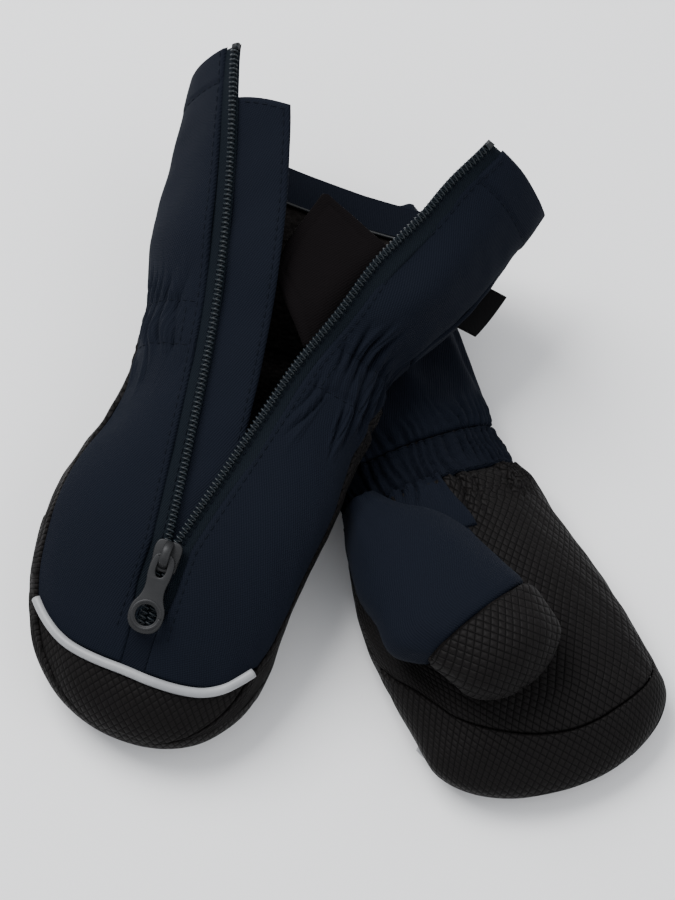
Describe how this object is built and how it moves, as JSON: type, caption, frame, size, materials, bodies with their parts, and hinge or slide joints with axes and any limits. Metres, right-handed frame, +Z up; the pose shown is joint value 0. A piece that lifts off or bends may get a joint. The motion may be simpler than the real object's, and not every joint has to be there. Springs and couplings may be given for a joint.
{
  "type": "zip mittens",
  "caption": "Pair of toddler's padded waterproof mittens with a long back zip, grip palm, fleece lining and gathered wrist; the left one is unzipped.",
  "frame": {"origin": "centre of the bounding box, at table level", "axes": "+Z up from the table, +Y from the finger ends towards the cuffs, +X towards the right mitten"},
  "size_m": [0.2062, 0.2396, 0.0848],
  "materials": {
    "navy_shell": "matte woven nylon",
    "grip_fabric": "embossed grip fabric",
    "reflective_piping": "satin reflective piping",
    "fleece": "brushed fleece",
    "padding": "loose fibre padding",
    "zip_tape": "woven zip tape",
    "zip_coil": "nylon coil teeth",
    "slider_metal": "dark semi-gloss lacquered zinc",
    "elastic": "gathered elastic channel",
    "label": "woven ribbon"
  },
  "bodies": {
    "left_mitten": {"left_fingertip_wrap": "grip_fabric", "left_fingertip_cap": "grip_fabric", "left_reflective_piping": "reflective_piping", "left_back_panel_inner": "navy_shell", "left_back_panel_outer": "navy_shell", "left_palm_panel": "grip_fabric", "left_zip_placket": "navy_shell", "left_hand_padding": "padding", "left_fleece_lining": "fleece", "left_wrist_elastic": "elastic", "left_cuff_palm": "navy_shell", "left_zip_tape_inner_hand": "zip_tape", "left_zip_coil_inner_hand": "zip_coil", "left_zip_tape_outer_hand": "zip_tape", "left_zip_coil_outer_hand": "zip_coil", "left_zip_underlap_hand": "navy_shell"},
    "right_mitten": {"right_fingertip_wrap": "grip_fabric", "right_fingertip_cap": "grip_fabric", "right_reflective_piping": "reflective_piping", "right_back_panel_inner": "navy_shell", "right_back_panel_outer": "navy_shell", "right_palm_panel": "grip_fabric", "right_zip_placket": "navy_shell", "right_hand_padding": "padding", "right_fleece_lining": "fleece", "right_wrist_elastic": "elastic", "right_cuff": "navy_shell", "right_zip_tape_inner": "zip_tape", "right_zip_coil_inner": "zip_coil", "right_zip_tape_outer": "zip_tape", "right_zip_coil_outer": "zip_coil"},
    "left_flap_inner": {"left_cuff_flap_inner": "navy_shell", "left_flap_fleece_inner": "fleece", "left_zip_tape_inner_cuff": "zip_tape", "left_zip_coil_inner_cuff": "zip_coil", "left_zip_underlap_cuff": "navy_shell"},
    "left_flap_outer": {"left_cuff_flap_outer": "navy_shell", "left_flap_fleece_outer": "fleece", "left_zip_tape_outer_cuff": "zip_tape", "left_zip_coil_outer_cuff": "zip_coil", "left_fleece_tongue": "fleece", "left_side_label": "label"},
    "left_thumb": {"left_thumb_shell": "navy_shell", "left_thumb_tip": "grip_fabric", "left_thumb_lining": "fleece"},
    "left_slider": {"left_zip_slider": "slider_metal"},
    "left_pull": {"left_zip_pull": "slider_metal"},
    "right_thumb": {"right_thumb_shell": "navy_shell", "right_thumb_tip": "grip_fabric", "right_thumb_lining": "fleece"},
    "right_slider": {"right_zip_slider": "slider_metal"},
    "right_pull": {"right_zip_pull": "slider_metal"}
  },
  "joints": [
    {"name": "left_lift", "type": "slide", "parent": "right_mitten", "child": "left_mitten", "axis": [0, 0, 1], "range_m": [0, 0.12]},
    {"name": "left_flap_inner_fold", "type": "hinge", "parent": "left_mitten", "child": "left_flap_inner", "pos_m": [-0.06531, 0.05135, 0.04296], "axis": [-0.1896, -0.9596, -0.2078], "range_deg": [-8, 30]},
    {"name": "left_flap_outer_fold", "type": "hinge", "parent": "left_mitten", "child": "left_flap_outer", "pos_m": [0.02254, 0.02041, 0.04296], "axis": [0.6551, 0.7298, 0.1956], "range_deg": [-8, 30]},
    {"name": "left_slider_travel", "type": "slide", "parent": "left_mitten", "child": "left_slider", "axis": [-0.3129, -0.8883, -0.3363], "range_m": [0, 0.011]},
    {"name": "left_pull_swing", "type": "hinge", "parent": "left_slider", "child": "left_pull", "pos_m": [-0.05717, -0.0526, 0.0498], "axis": [-0.9449, 0.327, 0.0153], "range_deg": [0, 100]},
    {"name": "left_thumb_swing", "type": "hinge", "parent": "left_mitten", "child": "left_thumb", "pos_m": [-0.05409, 0.01199, 0.0091], "axis": [0, 0, -1], "range_deg": [0, 20]},
    {"name": "right_thumb_lift", "type": "hinge", "parent": "right_mitten", "child": "right_thumb", "pos_m": [0.01614, -0.02482, 0.03], "axis": [-0.8393, -0.5437, 0], "range_deg": [0, 35]},
    {"name": "right_slider_travel", "type": "slide", "parent": "right_mitten", "child": "right_slider", "axis": [0.3724, -0.9281, 0], "range_m": [0, 0.158]},
    {"name": "right_pull_swing", "type": "hinge", "parent": "right_slider", "child": "right_pull", "pos_m": [-0.00612, 0.07166, 0.0032], "axis": [0.9281, 0.3724, -0.0001], "range_deg": [0, 90]}
  ]
}
